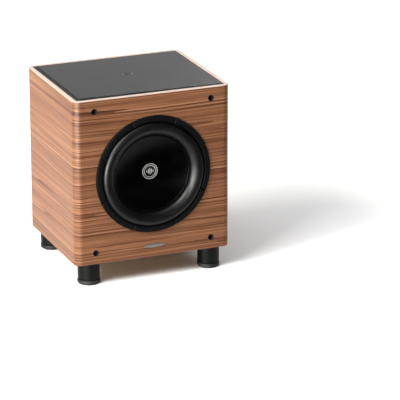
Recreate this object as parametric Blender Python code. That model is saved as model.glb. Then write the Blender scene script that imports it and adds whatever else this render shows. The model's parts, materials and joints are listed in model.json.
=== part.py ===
"""Powered subwoofer with a front-firing 10-inch driver, a veneered box and a rear amplifier.

Metres, +Z up, front towards -Y. The origin is on the floor, under the middle of the whole object.
"""

import math

import bmesh
import bpy
from mathutils import Matrix, Vector

MM = 0.001
GAP = 0.3 * MM

# Cabinet
WIDTH = 360 * MM
DEPTH = 305 * MM
HEIGHT = 370 * MM
WALL = 22 * MM
CORNER = 16.6 * MM
VENEER = 0.9 * MM
LIPPING_WIDTH = 9 * MM
LIPPING_THICK = 1.5 * MM
COVER_CORNER = 4 * MM
COVER_BORDER = 6 * MM
COVER_GROOVE = 0.6 * MM
COVER_SHOULDER = 10 * MM
COVER_RISE = 2.3 * MM
SOCKET_INSET_SIDE = 45.6 * MM
SOCKET_INSET_END = 25.3 * MM
SOCKET_RADIUS = 6.8 * MM
SOCKET_BORE = 4.6 * MM
BADGE_SIZE = (51 * MM, 8 * MM)
BADGE_HEIGHT = 25 * MM

# Feet
FOOT_HEIGHT = 50.7 * MM
FOOT_RADIUS = 24.3 * MM
PAD_RADIUS = 25 * MM
PAD_HEIGHT = 9.6 * MM
FOOT_INSET_SIDE = 39.2 * MM
FOOT_INSET_END = 31.1 * MM
STUD_RADIUS = 4 * MM

# Driver: radii and depths, where a depth runs back from the front face of the box
DRIVER_HEIGHT = 189 * MM
TRIM_RADIUS = 131.5 * MM
TRIM_PROUD = 4 * MM
TRIM_INNER = 119.4 * MM
REBATE_DEPTH = 3 * MM
CUTOUT_RADIUS = 119 * MM
ROLL_OUTER = 115.8 * MM
ROLL_INNER = 88 * MM
ROLL_RISE = 9.9 * MM
ROLL_FOOT = -1.1 * MM
RUBBER_THICK = 1 * MM
CONE_RADIUS = 88.5 * MM
RIM_DEPTH = 7.2 * MM
BOWL_RADIUS = 83 * MM
BOWL_DEPTH = 15 * MM
EMBLEM_RADIUS = 18 * MM
COIL_RADIUS = 25.5 * MM
NOTCHES = 8
NOTCH_WIDTH = 3 * MM

# Amplifier: heights above the back face of the box, measured outwards
PANEL_SIZE = (220 * MM, 260 * MM)
PANEL_FACE = 4.3 * MM
PANEL_THICK = 3 * MM
CUTOUT_SIZE = (190 * MM, 230 * MM)
AMP_DEPTH = 72 * MM
FIN_REACH = 20 * MM
FINS = 15

# The roll's inner foot lies deeper than its outer one, by twice its lean
ROLL_LEAN = (RIM_DEPTH - GAP - RUBBER_THICK - ROLL_FOOT) / 2

# The box stands forward of the origin, so that the front roll and the rear fins reach equally far
FRONT_REACH = math.hypot(ROLL_LEAN, ROLL_RISE) - ROLL_LEAN - ROLL_FOOT
REAR_REACH = FIN_REACH + PANEL_FACE
MIDDLE_Y = (FRONT_REACH - REAR_REACH) / 2
FRONT_Y = MIDDLE_Y - DEPTH / 2
BACK_Y = MIDDLE_Y + DEPTH / 2
BASE_Z = FOOT_HEIGHT
TOP_Z = BASE_Z + HEIGHT
DRIVER_Z = BASE_Z + DRIVER_HEIGHT
AMP_Z = BASE_Z + HEIGHT / 2
SKIN = VENEER + GAP
BOARD_TOP = TOP_Z - LIPPING_THICK - GAP
INNER_X = WIDTH / 2 - WALL

# Facets round one turn
LARGE = 40
MEDIUM = 24
SMALL = 16
ARC_STEPS = 4


# Surfaces


def surface(name, colour, roughness, metallic=0.0):
    made = bpy.data.materials.new(name)
    made.use_nodes = True
    shader = made.node_tree.nodes["Principled BSDF"]
    shader.inputs["Base Color"].default_value = (*colour, 1.0)
    shader.inputs["Roughness"].default_value = roughness
    shader.inputs["Metallic"].default_value = metallic
    made.diffuse_color = (*colour, 1.0)
    return made


def all_surfaces():
    return {
        "walnut": surface("walnut", (0.30, 0.14, 0.07), 0.45),
        "pale_wood": surface("pale_wood", (0.62, 0.42, 0.29), 0.45),
        "fibreboard": surface("fibreboard", (0.33, 0.22, 0.13), 0.85),
        "black_leather": surface("black_leather", (0.03, 0.03, 0.032), 0.55),
        "silver": surface("silver", (0.62, 0.62, 0.63), 0.3, 1.0),
        "black_rubber": surface("black_rubber", (0.012, 0.012, 0.013), 0.5),
        "wadding": surface("wadding", (0.72, 0.70, 0.66), 0.95),
        "slate_trim": surface("slate_trim", (0.012, 0.015, 0.019), 0.4),
        "black_steel": surface("black_steel", (0.015, 0.015, 0.016), 0.5, 0.3),
        "cone_black": surface("cone_black", (0.008, 0.008, 0.009), 0.45),
        "foam": surface("foam", (0.02, 0.02, 0.02), 0.95),
        "film": surface("film", (0.45, 0.24, 0.07), 0.4),
        "copper": surface("copper", (0.65, 0.29, 0.14), 0.35, 1.0),
        "cloth": surface("cloth", (0.50, 0.38, 0.18), 0.9),
        "bright_steel": surface("bright_steel", (0.55, 0.55, 0.56), 0.35, 1.0),
        "ferrite": surface("ferrite", (0.05, 0.05, 0.055), 0.6),
        "black_plastic": surface("black_plastic", (0.014, 0.014, 0.015), 0.45),
        "black_aluminium": surface("black_aluminium", (0.02, 0.02, 0.021), 0.4, 0.6),
        "board_green": surface("board_green", (0.03, 0.16, 0.07), 0.5),
        "blue_sleeve": surface("blue_sleeve", (0.03, 0.06, 0.22), 0.4),
        "lens": surface("lens", (0.10, 0.35, 0.85), 0.2),
        "foot_black": surface("foot_black", (0.014, 0.014, 0.015), 0.4),
    }


# Shape tools


def finished(name, shape, look, place=(0, 0, 0)):
    """Turns a bmesh into an object with outward faces, smooth but for its sharp edges."""
    bmesh.ops.recalc_face_normals(shape, faces=shape.faces)
    mesh = bpy.data.meshes.new(name)
    shape.to_mesh(mesh)
    shape.free()
    mesh.shade_smooth()
    mesh.set_sharp_from_angle(angle=math.radians(35))
    if look:
        mesh.materials.append(look)
    made = bpy.data.objects.new(name, mesh)
    made.location = place
    bpy.context.scene.collection.objects.link(made)
    return made


def oriented(u, v, along, axis):
    """A point at (u, v) across the axis, and this far along it. Across Y, u is X and v is Z."""
    return {"X": (along, u, v), "Y": (u, along, v), "Z": (u, v, along)}[axis]


def loft(name, loops, look, place=(0, 0, 0), ring=False):
    """Skins equal loops of points in order. A ring joins the last to the first, else both get caps."""
    shape = bmesh.new()
    rows = [[shape.verts.new(point) for point in loop] for loop in loops]
    for near, far in zip(rows, rows[1:] + rows[:1] if ring else rows[1:]):
        for i in range(len(near)):
            j = (i + 1) % len(near)
            shape.faces.new((near[i], near[j], far[j], far[i]))
    if not ring:
        shape.faces.new(rows[0])
        shape.faces.new(rows[-1])
    return finished(name, shape, look, place)


def turned(name, profile, look, place, axis, segments, ring=False):
    """Turns (radius, along) points about an axis through the place."""
    steps = [2 * math.pi * i / segments for i in range(segments)]
    loops = [
        [oriented(r * math.sin(t), r * math.cos(t), along, axis) for t in steps]
        for r, along in profile
    ]
    return loft(name, loops, look, place, ring)


def filleted(corners, steps=ARC_STEPS):
    """The outline through right-angled corners (u, v, radius), each rounded to its radius."""
    points = []
    for i, (u, v, radius) in enumerate(corners):
        here = Vector((u, v))
        if radius == 0:
            points.append((u, v))
            continue
        before = (Vector(corners[i - 1][:2]) - here).normalized() * radius
        after = (Vector(corners[(i + 1) % len(corners)][:2]) - here).normalized() * radius
        for k in range(steps + 1):
            turn = math.pi / 2 * k / steps
            points.append(tuple(here + before * (1 - math.sin(turn)) + after * (1 - math.cos(turn))))
    return points


def rectangle(width, height, radius=0.0, centre=(0, 0)):
    u, v = width / 2, height / 2
    corners = [(-u, -v), (u, -v), (u, v), (-u, v)]
    return filleted([(centre[0] + a, centre[1] + b, radius) for a, b in corners])


def prism(name, outline, low, high, look, place=(0, 0, 0), axis="Z"):
    loops = [[oriented(u, v, along, axis) for u, v in outline] for along in (low, high)]
    return loft(name, loops, look, place)


def block(name, low, high, look):
    """A box between two corners."""
    middle = [(a + b) / 2 for a, b in zip(low, high)]
    outline = rectangle(high[0] - low[0], high[1] - low[1])
    half = (high[2] - low[2]) / 2
    return prism(name, outline, -half, half, look, middle)


def boolean(target, tool, operation):
    """Works the tool into the target and keeps it out of sight."""
    change = target.modifiers.new(tool.name, "BOOLEAN")
    change.operation = operation
    change.solver = "EXACT"
    change.object = tool
    tool.hide_render = True
    tool.display_type = "WIRE"


def cut(targets, tool):
    for target in targets:
        boolean(target, tool, "DIFFERENCE")


def from_front(depth):
    return FRONT_Y + depth


def from_back(reach):
    return BACK_Y + reach


def cabinet_outline(inset, radius):
    return rectangle(WIDTH - 2 * inset, DEPTH - 2 * inset, radius, (0, MIDDLE_Y))


def level(outline, z):
    return [(x, y, z) for x, y in outline]


# Cabinet


def boards(looks):
    """The six boards. The side boards carry the rounded vertical edges."""
    look = looks["fibreboard"]
    made = {}
    front, back = from_front(SKIN), from_back(-SKIN)
    outer = WIDTH / 2 - SKIN
    radius = CORNER - SKIN
    for name, side in (("left_side_board", -1), ("right_side_board", 1)):
        inner = side * INNER_X
        corners = [(inner, front, 0), (side * outer, front, radius),
                   (side * outer, back, radius), (inner, back, 0)]
        made[name] = prism(name, filleted(corners), BASE_Z, BOARD_TOP, look)
    x = INNER_X - GAP
    inside_front, inside_back = from_front(WALL), from_back(-WALL)
    spans = {
        "front_baffle": ((-x, front, BASE_Z), (x, inside_front, BOARD_TOP)),
        "back_board": ((-x, inside_back, BASE_Z), (x, back, BOARD_TOP)),
        "top_board": ((-x, inside_front + GAP, TOP_Z - WALL), (x, inside_back - GAP, BOARD_TOP)),
        "bottom_board": ((-x, inside_front + GAP, BASE_Z), (x, inside_back - GAP, BASE_Z + WALL)),
    }
    for name, (low, high) in spans.items():
        made[name] = block(name, low, high, look)
    return made


def veneer_wrap(looks):
    """One thin skin right round the box, rounded at the vertical edges."""
    outer = cabinet_outline(0, CORNER)
    inner = cabinet_outline(VENEER, CORNER - VENEER)
    loops = [level(outer, BASE_Z), level(outer, BOARD_TOP), level(inner, BOARD_TOP), level(inner, BASE_Z)]
    return loft("veneer_wrap", loops, looks["walnut"], ring=True)


def top_lipping(looks):
    """The pale wooden frame round the top cover, eased along its outer edge."""
    low = TOP_Z - LIPPING_THICK
    eased = [(0, low), (0, TOP_Z - 1.0 * MM), (0.3 * MM, TOP_Z - 0.3 * MM), (1.0 * MM, TOP_Z)]
    loops = [level(cabinet_outline(inset, CORNER - inset), z) for inset, z in eased]
    inner = cabinet_outline(LIPPING_WIDTH, COVER_CORNER)
    loops += [level(inner, TOP_Z), level(inner, low)]
    loft("top_lipping", loops, looks["pale_wood"], ring=True)


def top_cover(looks):
    """The leather-covered panel: a low border inside the lipping, a groove, then the raised middle."""
    edge = LIPPING_WIDTH + GAP
    low = TOP_Z - LIPPING_THICK
    corner = 2 * MM
    steps = [
        (edge, COVER_CORNER, low),
        (edge, COVER_CORNER, TOP_Z - 0.3 * MM),
        (edge + 0.8 * MM, COVER_CORNER - 0.8 * MM, TOP_Z + 0.2 * MM),
        (edge + COVER_BORDER - 0.8 * MM, corner, TOP_Z + 0.2 * MM),
        (edge + COVER_BORDER, corner, TOP_Z + 0.2 * MM - COVER_GROOVE),
        (edge + COVER_BORDER + 1.1 * MM, corner, TOP_Z + COVER_RISE - 0.6 * MM),
        (edge + COVER_SHOULDER, corner, TOP_Z + COVER_RISE),
    ]
    loops = [level(cabinet_outline(inset, radius), z) for inset, radius, z in steps]
    loft("top_cover", loops, looks["black_leather"])


def socket_places():
    x = WIDTH / 2 - SOCKET_INSET_SIDE
    low = BASE_Z + SOCKET_INSET_END
    high = TOP_Z - SOCKET_INSET_END
    return {
        "lower_left": (-x, low),
        "lower_right": (x, low),
        "upper_left": (-x, high),
        "upper_right": (x, high),
    }


def grille_sockets(looks, walls):
    """Four rubber cups that a grille's pegs push into, let into the front."""
    depth = 15.5 * MM
    profile = [
        (SOCKET_BORE, depth - 2.5 * MM),
        (SOCKET_BORE, 0.4 * MM),
        (SOCKET_BORE + 0.7 * MM, -0.4 * MM),
        (SOCKET_RADIUS, -0.4 * MM),
        (SOCKET_RADIUS, depth),
    ]
    for corner, (x, z) in socket_places().items():
        place = (x, FRONT_Y, z)
        turned(f"grille_socket_{corner}", profile, looks["black_rubber"], place, "Y", SMALL)
        radius = SOCKET_RADIUS + GAP
        hole = [(radius, -2 * MM), (radius, depth + GAP)]
        cut(walls, turned(f"cut_socket_{corner}", hole, None, place, "Y", SMALL))


def badge_plate(looks):
    """A slim plate whose ends taper to points, with nothing on it."""
    half_width, half_height = BADGE_SIZE[0] / 2, BADGE_SIZE[1] / 2
    steps = 16
    upper = []
    for i in range(steps):
        u = 2 * i / steps - 1
        upper.append((u * half_width, half_height * (1 - u * u) ** 0.75))
    outline = upper + [(-u, -v) for u, v in upper]
    place = (0, FRONT_Y, BASE_Z + BADGE_HEIGHT)
    prism("badge_plate", outline, -1.3 * MM, -GAP, looks["silver"], place, "Y")


def wadding(looks):
    """A slab of damping wadding under the top board."""
    x = INNER_X - 7 * MM
    top = TOP_Z - WALL - 0.5 * MM
    low = (-x, from_front(32 * MM), top - 25 * MM)
    high = (x, from_front(235 * MM), top)
    block("wadding", low, high, looks["wadding"])


def feet(looks, bottom):
    """Four turned columns, each with a stud up into the bottom board and a rubber pad below."""
    x = WIDTH / 2 - FOOT_INSET_SIDE
    reach = DEPTH / 2 - FOOT_INSET_END
    top = FOOT_HEIGHT - GAP
    stud_top = FOOT_HEIGHT + 17 * MM
    neck = FOOT_RADIUS - 2 * MM
    low = PAD_HEIGHT + GAP
    column = [
        (neck, low),
        (neck, low + 1.2 * MM),
        (FOOT_RADIUS, low + 1.6 * MM),
        (FOOT_RADIUS, top - 0.8 * MM),
        (FOOT_RADIUS - 0.8 * MM, top),
        (STUD_RADIUS, top),
        (STUD_RADIUS, stud_top),
    ]
    pad = [
        (PAD_RADIUS - 2.2 * MM, 0),
        (PAD_RADIUS, 2.2 * MM),
        (PAD_RADIUS, PAD_HEIGHT - 0.7 * MM),
        (PAD_RADIUS - 0.7 * MM, PAD_HEIGHT),
    ]
    hole = [(STUD_RADIUS + GAP, FOOT_HEIGHT - 1 * MM), (STUD_RADIUS + GAP, FOOT_HEIGHT + 19 * MM)]
    for end, y in (("front", MIDDLE_Y - reach), ("rear", MIDDLE_Y + reach)):
        for side, sign in (("left", -1), ("right", 1)):
            place = (sign * x, y, 0)
            turned(f"foot_column_{end}_{side}", column, looks["foot_black"], place, "Z", SMALL)
            turned(f"foot_pad_{end}_{side}", pad, looks["black_rubber"], place, "Z", SMALL)
            cut([bottom], turned(f"cut_stud_{end}_{side}", hole, None, place, "Z", 12))


# Driver


def driver_piece(name, profile, look, segments=MEDIUM, ring=True):
    """Turns a profile of (radius, depth) in millimetres about the driver's axis."""
    points = [(r * MM, depth * MM) for r, depth in profile]
    return turned(name, points, look, (0, FRONT_Y, DRIVER_Z), "Y", segments, ring)


def driver_cutter(name, radius, depth):
    profile = [(radius, -10 * MM), (radius, depth)]
    return turned(name, profile, None, (0, FRONT_Y, DRIVER_Z), "Y", LARGE)


def about_driver(angle):
    """Places a tool made at the top of the driver round to an angle from the top."""
    return Matrix.Translation((0, FRONT_Y, DRIVER_Z)) @ Matrix.Rotation(angle, 4, "Y")


def driver_openings(veneer, baffle):
    rebate = driver_cutter("cut_rebate", TRIM_RADIUS + 0.7 * MM, REBATE_DEPTH)
    cut([veneer, baffle], rebate)
    cut([baffle], driver_cutter("cut_driver", CUTOUT_RADIUS, 40 * MM))


def trim_ring(looks):
    """The cover ring over the driver's flange, with eight narrow notches across its face."""
    outer, inner, face = TRIM_RADIUS / MM, TRIM_INNER / MM, -TRIM_PROUD / MM
    profile = [
        (outer, 2.7), (outer, face + 1.2), (outer - 1.0, face),
        (inner + 1.5, face), (inner, face + 1.2), (inner, -1.4),
        (122.2, -1.4), (122.2, -0.2), (129.4, -0.2), (129.4, 2.7),
    ]
    ring = driver_piece("trim_ring", profile, looks["slate_trim"], LARGE)
    u, low, high = NOTCH_WIDTH / 2, TRIM_INNER - 1 * MM, TRIM_RADIUS + 1 * MM
    notch = [(-u, low), (u, low), (u, high), (-u, high)]
    for i in range(NOTCHES):
        tool = prism(f"cut_notch_{i}", notch, -TRIM_PROUD - 1 * MM, -1.9 * MM, None, axis="Y")
        tool.matrix_world = about_driver(math.pi * (2 * i + 1) / NOTCHES)
        cut([ring], tool)


def driver_basket(looks):
    """The steel frame: flange, windowed wall, shelf for the spider, seat for the magnet."""
    profile = [
        (129, 0.2), (129, 1.7), (117.5, 1.7), (113, 17), (82.5, 57), (82.5, 63),
        (70, 64), (62, 80), (30.5, 80), (30.5, 77.5), (59, 77.5), (66, 62.5),
        (66, 60), (79, 60), (79, 55), (110, 16), (112, 0.2),
    ]
    basket = driver_piece("driver_basket", profile, looks["black_steel"], LARGE)
    windows = 6
    window = [(u * MM, v * MM) for u, v in ((-31, 70), (31, 70), (31, 130), (-31, 130))]
    for i in range(windows):
        tool = prism(f"cut_window_{i}", window, 22 * MM, 50 * MM, None, axis="Y")
        tool.matrix_world = about_driver(2 * math.pi * i / windows)
        cut([basket], tool)


def bowl(radius):
    """Depth of the cone's front face at a radius, on a spherical dish."""
    sphere = (BOWL_RADIUS**2 + BOWL_DEPTH**2) / (2 * BOWL_DEPTH)
    return RIM_DEPTH + BOWL_DEPTH - sphere + math.sqrt(sphere**2 - radius**2)


def surround(looks):
    """The rubber half roll from the basket's flange to the cone."""
    middle = (ROLL_OUTER + ROLL_INNER) / 2
    across = (ROLL_OUTER - ROLL_INNER) / 2
    crest = math.atan2(ROLL_RISE, ROLL_LEAN)
    turns = [crest * i / 3 for i in range(3)] + [crest + (math.pi - crest) * i / 4 for i in range(5)]
    outside, inside = [], []
    for t in turns:
        depth = ROLL_FOOT + ROLL_LEAN * (1 - math.cos(t)) - ROLL_RISE * math.sin(t)
        outside.append((middle + across * math.cos(t), depth))
        inside.append((middle + (across - RUBBER_THICK) * math.cos(t), depth + RUBBER_THICK))
    outer_lip = [(121.5 * MM, ROLL_FOOT + RUBBER_THICK), (121.5 * MM, ROLL_FOOT)]
    inner_foot = ROLL_FOOT + 2 * ROLL_LEAN
    lip_edge = BOWL_RADIUS + 0.5 * MM
    inner_lip = [(lip_edge, inner_foot), (lip_edge, inner_foot + RUBBER_THICK)]
    profile = outer_lip + outside + inner_lip + inside[::-1]
    turned("surround", profile, looks["black_rubber"], (0, FRONT_Y, DRIVER_Z), "Y", LARGE, ring=True)


def moving_cone(looks):
    """The cone, its emblem, and the coil on its former. They slide as one along the axis."""
    place = (0, FRONT_Y, DRIVER_Z)
    thick = 1.8 * MM
    radii = [2 * MM, 20 * MM, 38 * MM, 54 * MM, 68 * MM, 77 * MM, BOWL_RADIUS - 0.6 * MM]
    front = [(r, bowl(r)) for r in radii]
    front += [(BOWL_RADIUS + 0.2 * MM, RIM_DEPTH), (CONE_RADIUS, RIM_DEPTH)]
    back = [(r, depth + thick) for r, depth in front[::-1]]
    turned("cone", front + back, looks["cone_black"], place, "Y", LARGE)

    steps = [1 * MM, 9 * MM, EMBLEM_RADIUS - 1 * MM]
    face = [(r, bowl(r) - 1.4 * MM) for r in steps]
    edge = (EMBLEM_RADIUS, bowl(EMBLEM_RADIUS) - 1.0 * MM)
    back = [(r, bowl(r) - 0.35 * MM) for r in [EMBLEM_RADIUS] + steps[::-1]]
    turned("emblem", face + [edge] + back, looks["silver"], place, "Y", MEDIUM)

    radius = COIL_RADIUS / MM
    tube = [(radius, 23), (radius, 97), (radius - 0.6, 97), (radius - 0.6, 23.4)]
    driver_piece("voice_coil_former", tube, looks["film"])
    winding = [(radius + 1.7, 75), (radius + 1.7, 93), (radius + 0.3, 93), (radius + 0.3, 75)]
    driver_piece("voice_coil", winding, looks["copper"])


def spider(looks):
    """The corrugated cloth disc that centres the coil."""
    thick = 0.8
    waves = [(29 + 4.8 * i, 58.6 + (1.1 if i % 2 else -1.1)) for i in range(8)]
    front = [(26, 56.6), (27, 58.6)] + waves + [(66, 58.9), (78, 58.9)]
    back = [(r, depth + thick) for r, depth in front[::-1]]
    driver_piece("spider", front + back, looks["cloth"])


def motor(looks):
    """Top plate, ring magnet, and the back plate with its vented pole, in a stack."""
    driver_piece("top_plate", [(62, 80.4), (62, 88.4), (28, 88.4), (28, 80.4)], looks["bright_steel"])
    driver_piece("magnet", [(71, 88.7), (72, 89.7), (72, 111.7), (71, 112.7), (34, 112.7), (34, 88.7)],
                 looks["ferrite"])
    yoke = [(62, 113), (62, 119), (60, 121), (9, 121), (9, 79), (24.2, 79), (24.2, 113)]
    driver_piece("pole_yoke", yoke, looks["bright_steel"])


def driver_fittings(looks):
    """The sealing gasket behind the flange, the terminals on the basket, and the lead to them."""
    gasket = [(128, 2.0), (128, 2.7), (119.4, 2.7), (119.4, 2.0)]
    driver_piece("driver_gasket", gasket, looks["foam"])
    terminal_z = DRIVER_Z - 76 * MM
    low = (-12 * MM, from_front(64.4 * MM), terminal_z - 5 * MM)
    high = (12 * MM, from_front(72.4 * MM), terminal_z + 5 * MM)
    block("driver_terminals", low, high, looks["black_plastic"])
    start = Vector((0, from_front(74 * MM), terminal_z))
    end = Vector((40 * MM, from_back(-AMP_DEPTH - 1.6 * MM), terminal_z - 8 * MM))
    lead("speaker_lead", start, end, 38 * MM, looks["black_rubber"])


def lead(name, start, end, sag, look):
    """A two-core lead on a smooth sagging path."""
    back = Vector((0, (end.y - start.y) * 0.35, 0))
    dip = Vector((0, 0, sag))
    bends = [start, start + back - dip, end - back - dip, end]
    points = 14
    curve = bpy.data.curves.new(name, "CURVE")
    curve.dimensions = "3D"
    curve.bevel_depth = 2.3 * MM
    curve.bevel_resolution = 2
    curve.use_fill_caps = True
    spline = curve.splines.new("POLY")
    spline.points.add(points - 1)
    for i, point in enumerate(spline.points):
        t = i / (points - 1)
        weights = [(1 - t) ** 3, 3 * t * (1 - t) ** 2, 3 * t * t * (1 - t), t**3]
        where = sum((bend * weight for bend, weight in zip(bends, weights)), Vector())
        point.co = (*where, 1)
    curve.materials.append(look)
    made = bpy.data.objects.new(name, curve)
    bpy.context.scene.collection.objects.link(made)


# Amplifier


def amp_place(x, z):
    """A place on the back face, from the middle of the amplifier panel."""
    return (x * MM, BACK_Y, AMP_Z + z * MM)


def amp_round(name, profile, x, z, look, segments=SMALL, ring=False):
    points = [(r * MM, reach * MM) for r, reach in profile]
    return turned(name, points, look, amp_place(x, z), "Y", segments, ring)


def amp_block(name, width, height, low, high, x, z, look, radius=0.0):
    outline = rectangle(width * MM, height * MM, radius * MM)
    return prism(name, outline, low * MM, high * MM, look, amp_place(x, z), "Y")


def amplifier_case(looks, back_walls):
    """Panel, gasket, heat sink and the steel box that closes off the electronics inside."""
    panel = prism("amp_panel", rectangle(*PANEL_SIZE, 8 * MM), PANEL_FACE - PANEL_THICK, PANEL_FACE,
                  looks["black_aluminium"], amp_place(0, 0), "Y")
    cut(back_walls, amp_block("cut_amp", CUTOUT_SIZE[0] / MM, CUTOUT_SIZE[1] / MM, -30, 5, 0, 0, None))

    rim = [(218, 258, 7), (194, 234, 2)]
    edges = [rectangle(w * MM, h * MM, r * MM) for w, h, r in rim]
    order = [(edges[0], GAP), (edges[0], 1 * MM), (edges[1], 1 * MM), (edges[1], GAP)]
    loops = [[oriented(u, v, reach, "Y") for u, v in edge] for edge, reach in order]
    loft("amp_gasket", loops, looks["foam"], amp_place(0, 0), ring=True)

    box = amp_block("amp_box", 184, 224, -AMP_DEPTH / MM, 1.0, 0, 0, looks["bright_steel"])
    cut([box], amp_block("cut_box", 181.6, 221.6, 1.2 - AMP_DEPTH / MM, 3, 0, 0, None))
    heat_sink(looks)
    return panel


def heat_sink(looks):
    """A finned extrusion across the upper half of the panel."""
    width, fin = 177 * MM, 2 * MM
    pitch = (width - fin) / (FINS - 1)
    root, tip = 4.5 * MM, FIN_REACH - GAP
    outline = [(-width / 2, 0), (width / 2, 0)]
    for i in reversed(range(FINS)):
        left = -width / 2 + i * pitch
        outline += [(left + fin, tip), (left, tip)]
        if i:
            outline += [(left, root), (left - pitch + fin, root)]
    place = (0, BACK_Y + PANEL_FACE + GAP, AMP_Z + 62 * MM)
    prism("heat_sink", outline, -50 * MM, 50 * MM, looks["black_aluminium"], place)


def electronics(looks):
    """What fills the amplifier box: ring transformer, circuit board and two reservoir capacitors."""
    ring = [(42, -7), (42, -39), (38, -43), (18, -43), (14, -39), (14, -7), (18, -3), (38, -3)]
    amp_round("mains_transformer", ring, 44, 58, looks["film"], MEDIUM, ring=True)
    amp_block("amp_board", 84, 104, -9.6, -8, -46, 58, looks["board_green"])
    for i, z in enumerate((82, 48)):
        can = [(12.5, -9.9), (12.5, -48.4), (11.5, -49.4)]
        amp_round(f"capacitor_{i + 1}", can, -62, z, looks["blue_sleeve"])


def rotary_control(name, x, z, looks, panel):
    """A potentiometer behind the panel and the knob on its shaft, which turns about its own origin."""
    pot = [(3.3, -10), (8.5, -10), (8.5, 1), (4.5, 1), (4.5, 6), (3.3, 6)]
    amp_round(f"{name}_pot", pot, x, z, looks["bright_steel"], ring=True)
    knob = [(3, -9.6), (3, 6.4), (11, 6.4), (11, 8), (10, 18.6), (9, 19.6), (1, 19.6)]
    turner = amp_round(f"{name}_knob", knob, x, z, looks["black_plastic"])
    mark = [(u * MM, v * MM) for u, v in ((-0.6, 3), (0.6, 3), (0.6, 12), (-0.6, 12))]
    cut([turner], prism(f"cut_mark_{name}", mark, 19 * MM, 22 * MM, None, amp_place(x, z), "Y"))
    cut([panel], amp_round(f"cut_{name}", [(4.9, 0), (4.9, 6)], x, z, None))


def slide_switch(name, x, z, looks, panel):
    """A two-position switch: a body behind the panel and the slider in its slot."""
    body = amp_block(f"{name}_switch_body", 19, 9, -7, 1, x, z, looks["black_plastic"])
    slot = amp_block(f"cut_slot_{name}", 11, 4.6, -4, 6, x, z, None)
    cut([body, panel], slot)
    travel = 3
    amp_block(f"{name}_slider", 4, 4, -3.6, 5.8, x - travel, z, looks["black_plastic"])


def power_switch(looks, panel):
    """A rocker tilted to its off side, in a bezel let through the panel."""
    x, z = -22, -92
    outer, inner = rectangle(15 * MM, 23 * MM, 1.5 * MM), rectangle(13 * MM, 20.6 * MM, 0.5 * MM)
    order = [(outer, 6.4), (outer, 4.6), (inner, 4.6), (inner, -16)]
    loops = [[oriented(u, v, reach * MM, "Y") for u, v in edge] for edge, reach in order]
    body = loft("power_switch_body", loops, looks["black_plastic"], amp_place(x, z))
    cut([body], amp_block("cut_rocker", 9.8, 17, -5, 8, x, z, None))
    cut([panel], amp_block("cut_power", 13.8, 21.4, 0, 6, x, z, None))
    axis_reach = 1.0
    corners = [(-3, -7), (-3, 7), (5.6, 7), (4.4, 0), (5.6, -7)]
    outline = [(y * MM, up * MM) for y, up in corners]
    place = Vector(amp_place(x, z)) + Vector((0, axis_reach * MM, 0))
    rocker = prism("power_rocker", outline, -4.5 * MM, 4.5 * MM, looks["black_plastic"], place, "X")
    rocker.rotation_euler.x = math.radians(8)


def mains_inlet(looks, panel):
    """The appliance inlet, with the drawer that holds the fuse below its socket."""
    x, z = -68, -88
    outer, inner = rectangle(31 * MM, 38 * MM, 3 * MM), rectangle(27 * MM, 33 * MM, 0.5 * MM)
    order = [(outer, 6.8), (outer, 4.6), (inner, 4.6), (inner, -22)]
    loops = [[oriented(u, v, reach * MM, "Y") for u, v in edge] for edge, reach in order]
    body = loft("mains_inlet", loops, looks["black_plastic"], amp_place(x, z))
    half, low, high, bevel = 12, -8, 8, 5
    corners = [(-half, low), (half, low), (half, high - bevel), (half - bevel, high),
               (bevel - half, high), (-half, high - bevel)]
    socket = [(u * MM, v * MM) for u, v in corners]
    cut([body], prism("cut_socket", socket, -9 * MM, 8 * MM, None, amp_place(x, z + 6.5), "Y"))
    cut([body], amp_block("cut_drawer", 21, 8, -13, 8, x, z - 11, None))
    cut([panel], amp_block("cut_inlet", 27.8, 33.8, 0, 6, x, z, None))
    amp_block("fuse_drawer", 20.2, 7.2, -12.6, 8, x, z - 11, looks["black_plastic"])


def line_input(name, x, z, looks, panel):
    profile = [
        (1.7, 5), (1.7, 13), (4.2, 13), (4.2, 6.2), (6.5, 6.2),
        (6.5, 4.6), (5, 4.6), (5, -8),
    ]
    amp_round(name, profile, x, z, looks["bright_steel"])
    cut([panel], amp_round(f"cut_{name}", [(5.4, 0), (5.4, 6)], x, z, None))


def indicator(looks, panel):
    x, z = 4, -60
    amp_round("power_light", [(2.4, -6), (2.4, 4.8), (1.6, 5.6)], x, z, looks["lens"])
    cut([panel], amp_round("cut_light", [(2.8, 0), (2.8, 6)], x, z, None, 12))


def build():
    for old in list(bpy.data.objects):
        bpy.data.objects.remove(old, do_unlink=True)
    looks = all_surfaces()

    wood = boards(looks)
    veneer = veneer_wrap(looks)
    top_lipping(looks)
    top_cover(looks)
    grille_sockets(looks, [veneer, wood["front_baffle"]])
    badge_plate(looks)
    wadding(looks)
    feet(looks, wood["bottom_board"])

    driver_openings(veneer, wood["front_baffle"])
    trim_ring(looks)
    driver_basket(looks)
    surround(looks)
    moving_cone(looks)
    spider(looks)
    motor(looks)
    driver_fittings(looks)

    panel = amplifier_case(looks, [veneer, wood["back_board"]])
    electronics(looks)
    rotary_control("level", 66, -22, looks, panel)
    rotary_control("crossover", 26, -22, looks, panel)
    slide_switch("phase", -22, -22, looks, panel)
    slide_switch("auto_on", -62, -22, looks, panel)
    line_input("line_input_left", 72, -84, looks, panel)
    line_input("line_input_right", 46, -84, looks, panel)
    indicator(looks, panel)
    power_switch(looks, panel)
    mains_inlet(looks, panel)


build()
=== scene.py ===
"""Looks of a powered subwoofer: veneered box, ten-inch driver, amplifier at the back, four feet.

Metres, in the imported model's frame: the floor is z = 0 and the driver faces -Y.
"""

import json
import math

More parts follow.
